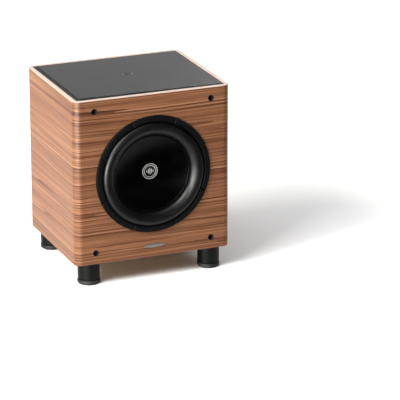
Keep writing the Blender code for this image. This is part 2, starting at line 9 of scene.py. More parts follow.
import bmesh
import bpy
from mathutils import Matrix, Vector, noise
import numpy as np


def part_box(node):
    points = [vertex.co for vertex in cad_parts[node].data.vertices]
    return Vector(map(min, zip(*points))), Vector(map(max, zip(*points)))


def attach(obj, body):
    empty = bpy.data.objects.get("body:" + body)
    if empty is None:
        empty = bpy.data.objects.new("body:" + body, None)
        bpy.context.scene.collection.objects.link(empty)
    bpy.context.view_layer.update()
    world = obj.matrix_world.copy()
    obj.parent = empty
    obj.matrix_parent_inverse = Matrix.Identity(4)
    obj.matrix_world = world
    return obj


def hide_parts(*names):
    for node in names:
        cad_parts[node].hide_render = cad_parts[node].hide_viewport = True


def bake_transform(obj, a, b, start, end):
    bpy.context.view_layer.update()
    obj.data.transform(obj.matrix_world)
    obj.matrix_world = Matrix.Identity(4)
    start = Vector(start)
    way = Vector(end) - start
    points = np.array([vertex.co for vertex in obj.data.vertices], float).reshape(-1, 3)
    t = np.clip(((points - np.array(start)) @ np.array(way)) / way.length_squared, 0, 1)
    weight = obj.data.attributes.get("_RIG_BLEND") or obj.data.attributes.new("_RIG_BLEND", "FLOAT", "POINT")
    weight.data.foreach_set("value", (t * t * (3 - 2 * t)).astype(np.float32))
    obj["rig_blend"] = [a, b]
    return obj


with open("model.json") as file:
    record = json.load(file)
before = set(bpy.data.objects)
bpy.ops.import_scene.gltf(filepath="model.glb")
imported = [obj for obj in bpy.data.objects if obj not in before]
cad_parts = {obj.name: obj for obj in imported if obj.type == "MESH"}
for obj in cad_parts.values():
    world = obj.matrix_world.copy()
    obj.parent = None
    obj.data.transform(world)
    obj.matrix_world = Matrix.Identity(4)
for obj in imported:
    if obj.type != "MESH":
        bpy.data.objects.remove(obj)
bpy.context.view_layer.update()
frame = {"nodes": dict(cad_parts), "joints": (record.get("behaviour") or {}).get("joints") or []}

MM = 0.001
SHARP = 32  # degrees between faces, from which an edge is drawn sharp
FINE = 160  # segments of the driver's large rings

# Places, read from the frame
BOX_LOW, BOX_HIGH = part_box("veneer_wrap")
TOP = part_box("top_lipping")[1].z
BASE = BOX_LOW.z
FRONT, BACK = BOX_LOW.y, BOX_HIGH.y
WIDTH, DEPTH = BOX_HIGH.x - BOX_LOW.x, BACK - FRONT
MIDDLE_Y = (FRONT + BACK) / 2


def middle(node):
    low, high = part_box(node)
    return (low + high) / 2


DRIVER = Vector((0, FRONT, middle("trim_ring").z))
PANEL = Vector((0, BACK, middle("amp_panel").z))
PANEL_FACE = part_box("amp_panel")[1].y - BACK
SOCKETS = [f"grille_socket_{end}_{side}" for end in ("lower", "upper") for side in ("left", "right")]

# Sizes that a node's box can't tell
CORNER = 16.6 * MM  # radius of the upright edges
VENEER = 0.9 * MM
FOOT_GAP = 0.3 * MM  # between a foot's column, its pad and the box
LIPPING = 9.0 * MM
COVER_INSET = 9.3 * MM
COVER_CORNER = 4.0 * MM
DRIVER_REBATE = 132.2 * MM
SOCKET_HOLE = 7.1 * MM
AMP_OPENING = (190 * MM, 230 * MM)
COLUMN_RADIUS = 24.3 * MM
PAD_RADIUS = 25.0 * MM

# Millimetres from the front of the box back to the cone's rim
CONE_RIM = 7.2

# Camera
CAMERA_FROM_BOX = Vector((-1.991, -5.239, 2.016))
CAMERA_YAW = 0.3915
CAMERA_PITCH = 0.3326
CAMERA_LENS = 239.9
CAMERA_SENSOR = 36

# Studio: the card, a black sheet that paints dark reflections into the gloss, lies on the floor between two
# corners, and a lamp has a place, a size, watts and a colour
FLOOR_REACH = 14.0
DARK_REFLECTION_CARD = ((-0.28, -2.2), (2.6, -0.42))
CARD_HEIGHT = 4 * MM
WORLD_LIGHT = 0.08
AREA_LIGHTS = [
    ("key_high", (-2.2, -1.3, 2.3), (1.3, 1.3), 112, (1.0, 1.0, 1.0)),
    ("key_left", (-2.7, -0.5, 2.2), (1.5, 1.5), 160, (1.0, 1.0, 0.92)),
    ("corner_strip", (-1.10, -1.01, 0.18), (1.3, 0.32), 84, (1.0, 1.0, 0.96)),
    ("behind", (1.6, 4.6, 1.4), (6.0, 2.4), 19, (1.0, 1.0, 1.0)),
    ("back_right", (2.4, 2.6, 2.7), (1.8, 1.8), 80, (1.0, 1.0, 1.0)),
]
LIGHTS_AIM = Vector((0, 0, 0.2))
SKY_STRENGTH = 1.2
SKY_SPREAD = math.radians(50)
SKY_AIM = Vector((0.25, 0.1, -1))


# Materials


class Graph:
    """A Principled material and short ways to add nodes to it."""

    def __init__(self, name, colour, roughness, metallic=0.0, specular=0.5):
        self.material = bpy.data.materials.new(name)
        self.material.use_nodes = True
        self.tree = self.material.node_tree
        self.shader = self.tree.nodes["Principled BSDF"]
        self.put("Base Color", (*colour, 1.0))
        self.put("Roughness", roughness)
        self.put("Metallic", metallic)
        self.put("Specular IOR Level", specular)

    def put(self, socket, value):
        self.connect(self.shader.inputs[socket], value)

    def connect(self, socket, value):
        if isinstance(value, bpy.types.NodeSocket):
            self.tree.links.new(value, socket)
        else:
            socket.default_value = value

    def add(self, kind, output, inputs, **settings):
        node = self.tree.nodes.new("ShaderNode" + kind)
        for key, value in settings.items():
            setattr(node, key, value)
        for key, value in inputs.items():
            self.connect(node.inputs[key], value)
        return node.outputs[output]

    def where(self, scale=(1, 1, 1), source="Object"):
        point = self.add("TexCoord", source, {})
        return self.add("Mapping", "Vector", {"Vector": point, "Scale": scale})

    def noise(self, where, scale=1.0, detail=2.0, roughness=0.5):
        inputs = {"Vector": where, "Scale": scale, "Detail": detail, "Roughness": roughness}
        return self.add("TexNoise", "Fac", inputs)

    def cells(self, where, scale, feature="F1"):
        return self.add("TexVoronoi", "Distance", {"Vector": where, "Scale": scale}, feature=feature)

    def maths(self, operation, a, b=0.5):
        return self.add("Math", "Value", {0: a, 1: b}, operation=operation)

    def spread(self, value, low, high, to_low=0.0, to_high=1.0):
        inputs = {"Value": value, "From Min": low, "From Max": high, "To Min": to_low, "To Max": to_high}
        return self.add("MapRange", "Result", inputs)

    def ramp(self, factor, stops):
        node = self.tree.nodes.new("ShaderNodeValToRGB")
        elements = node.color_ramp.elements
        while len(elements) < len(stops):
            elements.new(0.5)
        for element, (position, colour) in zip(elements, stops):
            element.position = position
            element.color = (*colour, 1.0)
        self.tree.links.new(factor, node.inputs["Fac"])
        return node.outputs["Color"]

    def mix(self, factor, a, b, blend="MIX"):
        node = self.tree.nodes.new("ShaderNodeMix")
        node.data_type = "RGBA"
        node.blend_type = blend
        for socket, value in ((node.inputs[0], factor), (node.inputs[6], a), (node.inputs[7], b)):
            self.connect(socket, (*value, 1.0) if isinstance(value, tuple) else value)
        return node.outputs[2]

    def bump(self, height, depth):
        inputs = {"Height": height, "Distance": depth, "Strength": 1.0}
        self.put("Normal", self.add("Bump", "Normal", inputs))


def wood(name, tones, roughness, contrast):
    """Straight-grained veneer. Its first coordinate runs with the grain, the second across it."""
    source = "UV"
    rings_per_metre = 64.0
    ring_darkness = 2.2
    middle_tone = 0.70
    sheen_wash_on_sides = 0.82
    dark, brown, tan, light = tones
    g = Graph(name, brown, roughness, specular=0.12)
    drift = g.noise(g.where((2.2, 5, 1), source), detail=2)
    place = g.where(source=source)
    shift = g.add("CombineXYZ", "Vector", {"Y": g.spread(drift, 0, 1, -6 * MM, 6 * MM)})
    place = g.add("VectorMath", "Vector", {0: place, 1: shift}, operation="ADD")

    def lines(along, across, detail=2.0, rough=0.5):
        scaled = g.add("Mapping", "Vector", {"Vector": place, "Scale": (along, across, 1)})
        return g.noise(scaled, detail=detail, roughness=rough)

    # Growth rings: each darkens slowly across its width, then ends at once
    across = g.add("SeparateXYZ", "Y", {"Vector": place})
    uneven = g.spread(lines(0.7, 24, 2, 0.6), 0.25, 0.75, -1.9, 1.9)
    ring = g.maths("FRACT", g.maths("ADD", g.maths("MULTIPLY", across, rings_per_metre), uneven))
    late = g.maths("POWER", ring, ring_darkness)
    depth = g.spread(lines(0.8, 40, 1), 0.35, 0.65, 0.10, 0.55)
    bands = lines(0.5, 40, 2, 0.6)
    figure = lines(1.2, 260, 3, 0.7)
    threads = lines(5, 700, 3, 0.6)
    fibres = lines(30, 2400)
    tone = g.maths("MULTIPLY", late, g.maths("MULTIPLY", depth, -contrast))
    layers = ((bands, 0.14 * contrast), (figure, 0.30 * contrast), (threads, 0.14), (fibres, 0.07))
    for detail, reach in layers:
        tone = g.maths("ADD", tone, g.spread(detail, 0.3, 0.7, -reach, reach))
    # Grain calmer on the sides and back than on the front, which ends at half the width: painted sheen, the
    # pale wash that light lays over the lit side
    aside = g.maths("ABSOLUTE", g.add("SeparateXYZ", "X", {"Vector": place}))
    tone = g.maths("MULTIPLY", tone, g.spread(aside, WIDTH / 2, WIDTH / 2 + 20 * MM, 1.0, sheen_wash_on_sides))
    tone = g.maths("ADD", tone, middle_tone)
    colour = g.ramp(tone, [(0.0, dark), (0.35, brown), (0.7, tan), (1.0, light)])
    blush = g.noise(g.where((3, 16, 1), source), detail=2)
    colour = g.mix(g.spread(blush, 0.4, 0.65, 0.0, 0.3), colour, (1.0, 0.92, 0.88), "MULTIPLY")
    pore = g.spread(lines(60, 1500, 1), 0.64, 0.72)
    g.put("Base Color", g.mix(g.maths("MULTIPLY", pore, 0.35), colour, dark))
    g.put("Roughness", g.spread(threads, 0.3, 0.7, roughness - 0.04, roughness + 0.06))
    g.bump(g.maths("SUBTRACT", g.maths("MULTIPLY", fibres, 0.4), pore), 0.02 * MM)
    return g.material


def board(name):
    """Raw fibreboard."""
    g = Graph(name, (0.33, 0.21, 0.12), 0.85)
    specks = g.noise(g.where(), 900, detail=3, roughness=0.7)
    g.put("Base Color", g.ramp(specks, [(0.3, (0.22, 0.13, 0.07)), (0.7, (0.40, 0.26, 0.15))]))
    g.bump(g.noise(g.where(), 1400, detail=2), 0.05 * MM)
    return g.material


def leather(name):
    """Fine-grained black covering with faint pebbling and a soft, uneven sheen."""
    g = Graph(name, (0.012, 0.012, 0.012), 0.23, specular=0.55)
    grain = g.cells(g.where(), 850, feature="SMOOTH_F1")
    fine = g.noise(g.where(), 2600, detail=2)
    cloud = g.noise(g.where(), 16, detail=3)
    g.put("Base Color", g.ramp(cloud, [(0.3, (0.010, 0.010, 0.010)), (0.7, (0.015, 0.015, 0.015))]))
    g.put("Roughness", g.spread(cloud, 0.3, 0.7, 0.20, 0.26))
    g.bump(g.maths("ADD", g.maths("MULTIPLY", fine, 0.3), grain), 0.04 * MM)
    return g.material


def moulded(name, colour, roughness, specular, grain, depth, metallic=0.0):
    """Plastic, rubber or paint with a fine texture and small changes in gloss. Depths are millimetres."""
    g = Graph(name, colour, roughness, metallic, specular)
    texture = g.noise(g.where(), grain, detail=2)
    patches = g.noise(g.where(), 35, detail=3)
    darker = tuple(0.8 * c for c in colour)
    lighter = tuple(1.2 * c for c in colour)
    g.put("Base Color", g.ramp(patches, [(0.3, darker), (0.7, lighter)]))
    g.put("Roughness", g.spread(patches, 0.3, 0.7, roughness - 0.04, roughness + 0.04))
    g.bump(texture, depth * MM)
    return g.material


def metal(name, colour, roughness, stretch=(1, 1, 1), grain=900, depth=0.006):
    """Bare or anodised metal, with a grain that can be drawn out into brush lines."""
    g = Graph(name, colour, roughness, 1.0)
    lines = g.noise(g.where(stretch), grain, detail=3, roughness=0.6)
    stain = g.noise(g.where(), 45, detail=2)
    dull = tuple(0.82 * c for c in colour)
    g.put("Base Color", g.ramp(stain, [(0.35, dull), (0.65, colour)]))
    g.put("Roughness", g.spread(lines, 0.3, 0.7, roughness - 0.05, roughness + 0.08))
    g.bump(lines, depth * MM)
    return g.material


def woven(name, colour, pitch):
    """Plain-woven cloth on turned pieces, where the UVs run round and along."""
    g = Graph(name, colour, 0.9)
    g.put("Sheen Weight", 0.2)
    tiles = (1 / pitch, 1 / pitch, 1)
    over = g.add("TexChecker", "Fac", {"Vector": g.where(tiles, "UV"), "Scale": 1.0})
    stains = g.noise(g.where(), 60, detail=3)
    darker = tuple(0.65 * c for c in colour)
    g.put("Base Color", g.ramp(stains, [(0.3, darker), (0.7, colour)]))
    g.bump(over, 0.15 * MM)
    return g.material


def winding(name):
    """Copper wire laid turn by turn along the coil, darker between the turns and paler on each turn's crown:
    painted shade and highlight.
    """
    g = Graph(name, (0.62, 0.26, 0.12), 0.32, 1.0)
    along = g.add("SeparateXYZ", "Y", {"Vector": g.where((1, 1 / (0.5 * MM), 1))})
    turn_relief_and_shade = g.maths("PINGPONG", along, 0.5)
    # Painted shade in the creases between turns and a painted highlight on each crown; the same pattern gives
    # the bump
    g.put("Base Color", g.ramp(turn_relief_and_shade, [(0.0, (0.30, 0.11, 0.05)), (0.5, (0.68, 0.30, 0.15))]))
    g.bump(turn_relief_and_shade, 0.12 * MM)
    return g.material


def circuit(name):
    """Green solder mask over copper tracks, with pale pads."""
    g = Graph(name, (0.02, 0.13, 0.06), 0.35)
    tracks = g.cells(g.where(), 130, feature="DISTANCE_TO_EDGE")
    on_track = g.maths("LESS_THAN", tracks, 0.06)
    pads = g.maths("LESS_THAN", g.cells(g.where(), 210), 0.16)
    colour = g.mix(on_track, (0.015, 0.11, 0.05), (0.03, 0.20, 0.09))
    g.put("Base Color", g.mix(pads, colour, (0.55, 0.54, 0.50)))
    g.bump(g.maths("MAXIMUM", on_track, pads), 0.05 * MM)
    return g.material


def wool(name):
    """Loose synthetic fibre in soft layers."""
    g = Graph(name, (0.70, 0.68, 0.63), 0.95)
    g.put("Sheen Weight", 0.5)
    fluff = g.noise(g.where((1, 1, 3)), 240, detail=5, roughness=0.7)
    g.put("Base Color", g.ramp(fluff, [(0.3, (0.52, 0.50, 0.46)), (0.7, (0.80, 0.79, 0.75))]))
    g.bump(fluff, 1.2 * MM)
    return g.material


def glowing_lens(name):
    """A blue lens, faintly lit."""
    g = Graph(name, (0.06, 0.22, 0.70), 0.15)
    depth = g.noise(g.where(), 500, detail=1)
    g.put("Base Color", g.ramp(depth, [(0.3, (0.04, 0.16, 0.60)), (0.7, (0.10, 0.34, 0.85))]))
    g.put("Emission Color", (0.15, 0.45, 1.0, 1.0))
    g.put("Emission Strength", 0.6)
    return g.material


# From the darkest line to the palest
WALNUT_TONES = ((0.044, 0.014, 0.007), (0.116, 0.042, 0.019), (0.215, 0.090, 0.042), (0.315, 0.152, 0.078))
# The lipping's walnut, painted paler and greyer than the walnut: painted light and sheen from above, on the
# top of the box
LIT_WALNUT_TONES = ((0.32, 0.22, 0.18), (0.41, 0.30, 0.25), (0.48, 0.37, 0.32), (0.54, 0.43, 0.38))
WALNUT = wood("walnut", WALNUT_TONES, 0.34, 1.25)
LIT_WALNUT = wood("walnut_painted_lit", LIT_WALNUT_TONES, 0.28, 0.6)
BOARD = board("fibreboard")
LEATHER = leather("cover_leather")
SILVER = metal("brushed_silver", (0.66, 0.66, 0.67), 0.26, (1, 1, 14), 700)
PEWTER = metal("brushed_pewter", (0.20, 0.195, 0.19), 0.32, (14, 1, 1), 700)
ROLL = moulded("surround_rubber", (0.0008, 0.0008, 0.0010), 0.40, 0.21, 900, 0.005)
LIP = moulded("lip_rubber", (0.0010, 0.0010, 0.0011), 0.34, 0.06, 900, 0.008)
RUBBER = moulded("matt_rubber", (0.006, 0.006, 0.006), 0.6, 0.25, 700, 0.05)
HOLE = moulded("socket_rubber", (0.004, 0.004, 0.004), 0.7, 0.15, 700, 0.03)
TRIM = moulded("slate_trim", (0.0026, 0.0028, 0.0035), 0.50, 0.05, 1500, 0.02)
CONE = moulded("cone_black", (0.0003, 0.0003, 0.0003), 0.22, 0.075, 1600, 0.008)
PRINT = moulded("emblem_silver", (0.50, 0.50, 0.50), 0.35, 0.5, 1500, 0.004)
INK = moulded("emblem_black", (0.004, 0.004, 0.004), 0.3, 0.2, 1600, 0.005)
FOOT = moulded("foot_black", (0.0028, 0.0028, 0.0028), 0.38, 0.08, 1300, 0.02)
PLASTIC = moulded("fitting_black", (0.014, 0.014, 0.015), 0.42, 0.45, 1700, 0.03)
ENAMEL = moulded("black_enamel", (0.014, 0.014, 0.015), 0.4, 0.5, 500, 0.04)
ANODISED = moulded("black_anodised", (0.020, 0.020, 0.021), 0.46, 0.6, 2200, 0.012, 0.5)
STEEL = metal("plated_steel", (0.56, 0.56, 0.57), 0.34)
NICKEL = metal("nickel", (0.62, 0.60, 0.55), 0.2)
FERRITE = moulded("ferrite", (0.045, 0.045, 0.05), 0.7, 0.4, 600, 0.08)
FOAM = moulded("foam", (0.02, 0.02, 0.02), 0.95, 0.2, 1100, 0.25)
FILM = moulded("amber_film", (0.42, 0.22, 0.06), 0.3, 0.5, 90, 0.05)
SLEEVE = moulded("can_sleeve", (0.03, 0.06, 0.22), 0.3, 0.5, 300, 0.01)
LEGEND = moulded("printed_legend", (0.62, 0.62, 0.60), 0.6, 0.3, 1500, 0.005)
RED = moulded("red_insulator", (0.45, 0.012, 0.012), 0.35, 0.5, 1500, 0.01)
WHITE = moulded("white_insulator", (0.70, 0.70, 0.68), 0.35, 0.5, 1500, 0.01)
CLOTH = woven("spider_cloth", (0.48, 0.35, 0.16), 0.6 * MM)
COPPER = winding("copper_wire")
CIRCUIT = circuit("circuit_board")
WOOL = wool("wadding")
LENS = glowing_lens("light_lens")


# Shape tools


def oriented(u, v, along, axis):
    """A point at (u, v) across the axis, and this far along it. Across Y, u is X and v is Z."""
    return {"X": (along, u, v), "Y": (u, along, v), "Z": (u, v, along)}[axis]


def finished(name, shape, look, place, sharp):
    """Turns a bmesh into an object with one material."""
    bmesh.ops.recalc_face_normals(shape, faces=shape.faces)
    mesh = bpy.data.meshes.new(name)
    shape.to_mesh(mesh)
    shape.free()
    mesh.materials.append(look)
    made = bpy.data.objects.new(name, mesh)
    made.location = place
    bpy.context.scene.collection.objects.link(made)
    return shaded(made, sharp)


def shaded(piece, sharp):
    """Smooth curves, sharp edges, and flat faces that stay flat beside a rounded edge."""
    piece.data.shade_smooth()
    piece.data.set_sharp_from_angle(angle=math.radians(sharp))
    weigh = piece.modifiers.new("weighted_normals", "WEIGHTED_NORMAL")
    weigh.keep_sharp = True
    weigh.weight = 100
    piece.data = evaluated_mesh(piece)
    piece.modifiers.clear()
    return piece


def loft(name, loops, look, place=(0, 0, 0), ring=False, sharp=SHARP):
    """Skins equal loops of points in order, with UVs in metres: round the loop, then along."""
    shape = bmesh.new()
    layer = shape.loops.layers.uv.new("UVMap")
    rows = [[shape.verts.new(point) for point in loop] for loop in loops]
    count = len(rows[0])
    longest = max(loops, key=lambda loop: max(Vector(p).length for p in loop))
    round_it = [0.0]
    for i in range(count):
        step = (Vector(longest[(i + 1) % count]) - Vector(longest[i])).length
        round_it.append(round_it[-1] + step)
    along = 0.0
    for near, far in zip(rows, rows[1:] + rows[:1] if ring else rows[1:]):
        width = (far[0].co - near[0].co).length
        for i in range(count):
            j = (i + 1) % count
            face = shape.faces.new((near[i], near[j], far[j], far[i]))
            corners = ((i, along), (i + 1, along), (i + 1, along + width), (i, along + width))
            for corner, (step, v) in zip(face.loops, corners):
                corner[layer].uv = (round_it[step], v)
        along += width
    if not ring:
        for row in (rows[0], rows[-1]):
            cap = shape.faces.new(row)
            for corner in cap.loops:
                corner[layer].uv = (corner.vert.co.x, corner.vert.co.y + corner.vert.co.z)
    return finished(name, shape, look, place, sharp)


def turned(name, profile, look, place, axis, segments=96, ring=False, ripple=None, sharp=SHARP):
    """Turns (radius, along) points about an axis. ripple(angle) adds to every radius over 5 mm."""
    loops = []
    for radius, along in profile:
        loop = []
        for i in range(segments):
            angle = 2 * math.pi * i / segments
            r = radius + (ripple(angle) if ripple and radius > 5 * MM else 0)
            loop.append(oriented(r * math.sin(angle), r * math.cos(angle), along, axis))
        loops.append(loop)
    return loft(name, loops, look, place, ring, sharp)


def filleted(corners, steps):
    """The outline through right-angled corners (u, v, radius), each rounded to its radius."""
    points = []
    for i, (u, v, radius) in enumerate(corners):
        here = Vector((u, v))
        if radius == 0:
            points.append((u, v))
            continue
        before = (Vector(corners[i - 1][:2]) - here).normalized() * radius
        after = (Vector(corners[(i + 1) % len(corners)][:2]) - here).normalized() * radius
        for k in range(steps + 1):
            turn = math.pi / 2 * k / steps
            points.append(tuple(here + before * (1 - math.sin(turn)) + after * (1 - math.cos(turn))))
    return points


def rectangle(width, height, radius=0.0, centre=(0, 0), steps=8):
    """A rectangle's outline, with its corners rounded if a radius is given."""
    u, v = width / 2, height / 2
    corners = [(-u, -v), (u, -v), (u, v), (-u, v)]
    return filleted([(centre[0] + a, centre[1] + b, radius) for a, b in corners], steps)


def raised(outline, levels, axis, name, look, place):
    """A plate from one outline maker: outline(inset) drawn at each (inset, along) level."""
    loops = [[oriented(u, v, along, axis) for u, v in outline(inset)] for inset, along in levels]
    return loft(name, loops, look, place)


def tube(name, points, radius, look):
    """A round tube through points, as a mesh."""
    curve = bpy.data.curves.new(name, "CURVE")
    curve.dimensions = "3D"
    curve.bevel_depth = radius
    curve.bevel_resolution = 3
    curve.use_fill_caps = True
    spline = curve.splines.new("POLY")
    spline.points.add(len(points) - 1)
    for target, point in zip(spline.points, points):
        target.co = (*point, 1)
    drawn = bpy.data.objects.new(name, curve)
    bpy.context.scene.collection.objects.link(drawn)
    mesh = evaluated_mesh(drawn)
    bpy.data.objects.remove(drawn)
    mesh.materials.clear()
    mesh.materials.append(look)
    mesh.shade_smooth()
    made = bpy.data.objects.new(name, mesh)
    bpy.context.scene.collection.objects.link(made)
    return made


def evaluated_mesh(piece):
    """A new mesh with the piece's modifiers applied."""
    bpy.context.view_layer.update()
    graph = bpy.context.evaluated_depsgraph_get()
    return bpy.data.meshes.new_from_object(piece.evaluated_get(graph), depsgraph=graph)


def carve(piece, tools):
    """Cuts the tools out of the piece and removes them."""
    for tool in tools:
        change = piece.modifiers.new(tool.name, "BOOLEAN")
        change.operation = "DIFFERENCE"
        change.solver = "EXACT"
        change.object = tool
    piece.data = evaluated_mesh(piece)
    piece.modifiers.clear()
    for tool in tools:
        bpy.data.objects.remove(tool)
    shaded(piece, SHARP)


def settle(piece, body, nodes=()):
    """Puts a piece on its body and hides the CAD nodes that it stands for."""
    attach(piece, body)
    if nodes:
        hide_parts(*nodes)
    return piece


def soften(node, width):
    """Eases a CAD node's sharp edges."""
    edge = node.modifiers.new("eased_edges", "BEVEL")
    edge.width = width
    edge.segments = 2
    edge.limit_method = "ANGLE"
    edge.angle_limit = math.radians(40)
    edge.harden_normals = False


def paint(names, look, ease=0.0):
    """Gives CAD nodes a material and, where a width is given, eased edges."""
    for name in names:
        node = frame["nodes"][name]
        node.data.materials.clear()
        node.data.materials.append(look)
        if ease:
            soften(node, ease)


def in_mm(profile):
    return [(across * MM, along * MM) for across, along in profile]


# Cabinet


def box_outline(inset, radius, steps=12):
    """The box from above, drawn this far inside its walls."""
    return rectangle(WIDTH - 2 * inset, DEPTH - 2 * inset, radius, (0, MIDDLE_Y), steps)


def on_front(node):
    """A node's place on the front of the box."""
    spot = middle(node)
    spot.y = FRONT
    return spot


def along_wall(point, side):
    """Distance round the box from the middle of the front, signed by side."""
    flat_x, flat_y = WIDTH / 2 - CORNER, DEPTH / 2 - CORNER
    x, y = abs(point.x), point.y - MIDDLE_Y
    quarter = CORNER * math.pi / 2
    if x <= flat_x and y < 0:
        return point.x
    if y < -flat_y:
        far = flat_x + CORNER * math.atan2(x - flat_x, -(y + flat_y))
    elif y <= flat_y:
        far = flat_x + quarter + y + flat_y
    elif x > flat_x:
        far = flat_x + quarter + 2 * flat_y + CORNER * math.atan2(y - flat_y, x - flat_x)
    else:
        far = flat_x + 2 * quarter + 2 * flat_y + flat_x - x
    return math.copysign(far, side)


def veneer():
    """The walnut skin, with its grain running round the box and one joint up the middle of the back."""
    top = BOX_HIGH.z
    levels = [(0.5 * MM, BASE), (0.15 * MM, BASE + 0.15 * MM), (0, BASE + 0.5 * MM), (0, top),
              (VENEER, top), (VENEER, BASE)]
    loops = []
    for inset, z in levels:
        outline = box_outline(inset, CORNER - inset)
        before_joint = max(i for i, (x, y) in enumerate(outline) if x > 0 and y > MIDDLE_Y)
        outline.insert(before_joint + 1, (0, BACK - inset))
        loops.append([(x, y, z) for x, y in outline])
    skin = loft("veneer_skin", loops, WALNUT, ring=True)

    ends = (-9 * MM, 9 * MM)

    def hole(name, place, radius, segments):
        return turned("cut_" + name, [(radius, end) for end in ends], WALNUT, place, "Y", segments)

    tools = [hole("driver", DRIVER, DRIVER_REBATE, FINE)]
    tools += [hole(node, on_front(node), SOCKET_HOLE, 48) for node in SOCKETS]
    opening = rectangle(*AMP_OPENING)
    through = [[oriented(u, v, end, "Y") for u, v in opening] for end in ends]
    tools.append(loft("cut_amp", through, WALNUT, PANEL))
    carve(skin, tools)

    layer = skin.data.uv_layers["UVMap"].data
    for face in skin.data.polygons:
        for index in face.loop_indices:
            point = skin.data.vertices[skin.data.loops[index].vertex_index].co
            layer[index].uv = (along_wall(point, face.center.x), point.z)
    settle(skin, "cabinet", ["veneer_wrap"])


def lipping():
    """The walnut frame round the cover, rounded over at its outer edge, in walnut painted paler for the light
    and sheen on the top.
    """
    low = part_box("top_lipping")[0].z
    edge = 1.2 * MM
    levels = [(0, low)]
    for k in range(6):
        turn = math.pi / 2 * k / 5
        levels.append((edge * (1 - math.cos(turn)), TOP - edge * (1 - math.sin(turn))))
    levels += [(LIPPING - 0.3 * MM, TOP), (LIPPING, TOP - 0.3 * MM), (LIPPING, low)]
    loops = []
    for inset, z in levels:
        radius = CORNER - inset if inset < LIPPING / 2 else COVER_CORNER + LIPPING - inset
        loops.append([(x, y, z) for x, y in box_outline(inset, radius)])
    ring = loft("wooden_lipping", loops, LIT_WALNUT, ring=True)
    settle(ring, "cabinet", ["top_lipping"])


def cover():
    """The leather-covered panel: a low border, a pressed groove, then the raised, slightly crowned middle."""
    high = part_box("top_cover")[1].z
    rise = (high - TOP) / MM
    shoulder, crown_start, crown_width = 1.9, 12, 108
    profile = [
        (0, -1.5), (0, -0.9), (0.15, -0.4), (0.6, 0.0), (1.2, 0.2), (4.4, 0.22), (5.0, 0.12),
        (5.5, -0.15), (5.75, -0.4), (6.15, -0.4), (6.35, -0.1), (6.6, 0.7), (7.0, 1.2), (7.8, 1.6),
        (9, 1.8), (12, shoulder),
    ]
    for k in range(1, 7):
        up = math.sin(math.pi / 2 * k / 6)
        profile.append((crown_start + crown_width * k / 6, shoulder + (rise - shoulder) * up))
    loops = []
    for inset, up in in_mm(profile):
        radius = max(COVER_CORNER - inset, 2 * MM)
        loops.append([(x, y, TOP + up) for x, y in box_outline(COVER_INSET + inset, radius, 6)])
    panel = loft("leather_cover", loops, LEATHER, sharp=50)
    settle(panel, "cabinet", ["top_cover"])

    centre = Vector((0, MIDDLE_Y, high))
    levels = in_mm([(0, -0.4), (0, 0.1), (0.3, 0.3), (0.8, 0.3), (1.1, 0.05)])
    mark = raised(lambda d: lens_outline(13 * MM - 1.6 * d, 4.2 * MM - d), levels, "Z", "cover_mark",
                  LEATHER, centre)
    settle(mark, "cabinet")
    # Two small silver studs near the ends of the mark: painted glints, put where the raised mark catches the
    # light
    glint_profile = in_mm([(1.5, -0.4), (1.5, 0.2), (1.0, 0.5), (0.3, 0.6)])
    for side, x in (("left", -10.5), ("right", 10.5)):
        dot = turned(f"cover_glint_dot_{side}", glint_profile, SILVER, centre + Vector((x * MM, 0, 0)), "Z", 24)
        settle(dot, "cabinet")


def lens_outline(half_width, half_height, steps=20):
    """An outline that tapers to a point at either end."""
    upper = []
    for i in range(steps):
        u = 2 * i / steps - 1
        upper.append((u * half_width, half_height * (1 - u * u) ** 0.75))
    return upper + [(-u, -v) for u, v in upper]


def badge():
    low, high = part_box("badge_plate")
    half_width, half_height = (high.x - low.x) / 2, (high.z - low.z) / 2
    front, back = low.y - FRONT, high.y - FRONT
    levels = [(0, back), (0, front + 0.35 * MM), (0.12 * MM, front + 0.12 * MM), (0.4 * MM, front)]
    plate = raised(lambda d: lens_outline(half_width - 1.6 * d, half_height - d), levels, "Y",
                   "badge_lens", PEWTER, on_front("badge_plate"))
    settle(plate, "cabinet", ["badge_plate"])


def sockets():
    """Rubber cups for a grille's pegs, dished at the mouth."""
    depth = 15.5 * MM
    bore, rim = 4.6 * MM, 6.8 * MM
    profile = [(0.5 * MM, depth - 2.5 * MM), (bore, depth - 2.5 * MM), (bore, 2.2 * MM),
               (bore + 0.5 * MM, 0.8 * MM), (bore + 1.2 * MM, 0.0), (rim - 0.5 * MM, -0.35 * MM),
               (rim - 0.1 * MM, -0.2 * MM), (rim, 0.2 * MM), (rim, depth), (1 * MM, depth)]
    for node in SOCKETS:
        cup = turned(node + "_cup", profile, HOLE, on_front(node), "Y", 40)
        settle(cup, "cabinet", [node])


def feet():
    """Turned columns over softer pads, with a shadow groove between them."""
    pad_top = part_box("foot_pad_front_left")[1].z
    low, top = pad_top + FOOT_GAP, BASE - FOOT_GAP
    centre = 1 * MM
    r = COLUMN_RADIUS
    column = [(r - 2 * MM, low), (r - 2 * MM, low + 1.1 * MM), (r - 0.4 * MM, low + 1.4 * MM),
              (r - 0.1 * MM, low + 1.7 * MM), (r, low + 2.2 * MM), (r, top - 0.9 * MM),
              (r - 0.25 * MM, top - 0.3 * MM), (r - 0.9 * MM, top), (centre, top)]
    r = PAD_RADIUS
    pad = [(centre, 0), (r - 2.6 * MM, 0), (r - 2.0 * MM, 0.25 * MM), (r - 0.4 * MM, 2.0 * MM),
           (r, 2.9 * MM), (r, pad_top - 1.0 * MM), (r - 0.3 * MM, pad_top - 0.3 * MM),
           (r - 1.0 * MM, pad_top), (centre, pad_top)]
    kinds = (("column", column, FOOT, "foot_black"), ("pad", pad, RUBBER, "black_rubber"))
    for corner in ("front_left", "front_right", "rear_left", "rear_right"):
        place = middle(f"foot_column_{corner}")
        place.z = 0
        for kind, profile, look, slot in kinds:
            node = f"foot_{kind}_{corner}"
            settle(turned(node + "_turned", profile, look, place, "Z", 72), "cabinet", [node])


